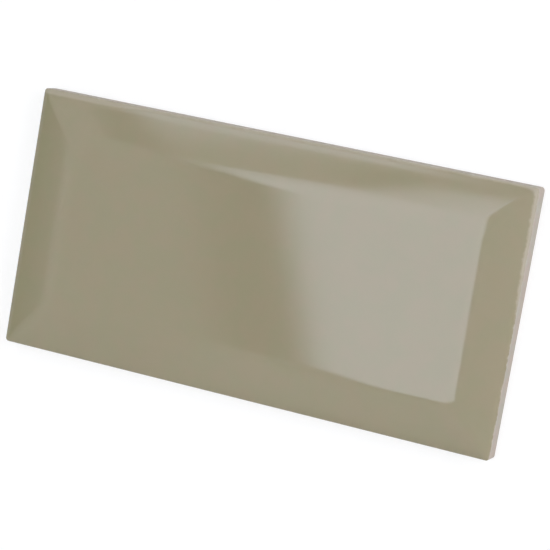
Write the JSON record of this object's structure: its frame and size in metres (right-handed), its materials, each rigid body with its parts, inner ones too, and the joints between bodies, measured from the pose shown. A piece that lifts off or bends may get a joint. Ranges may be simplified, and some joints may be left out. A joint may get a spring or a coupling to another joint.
{
  "type": "subway wall tile",
  "caption": "Rectangular glazed ceramic wall tile with a flat raised centre panel, sloping bevels on all sides, bare walls and a grooved bedding back.",
  "frame": {"origin": "on the plane of the bedding back, under the middle of the tile", "axes": "+X along the length, +Y across the width, +Z from the back to the glazed face"},
  "size_m": [0.15, 0.075, 0.008],
  "materials": {
    "glazed_tile": "glossy grey-green glaze on the face and its arris, bare pale bisque on the walls and the back"
  },
  "bodies": {
    "root": {"tile": "glazed_tile"}
  },
  "joints": []
}
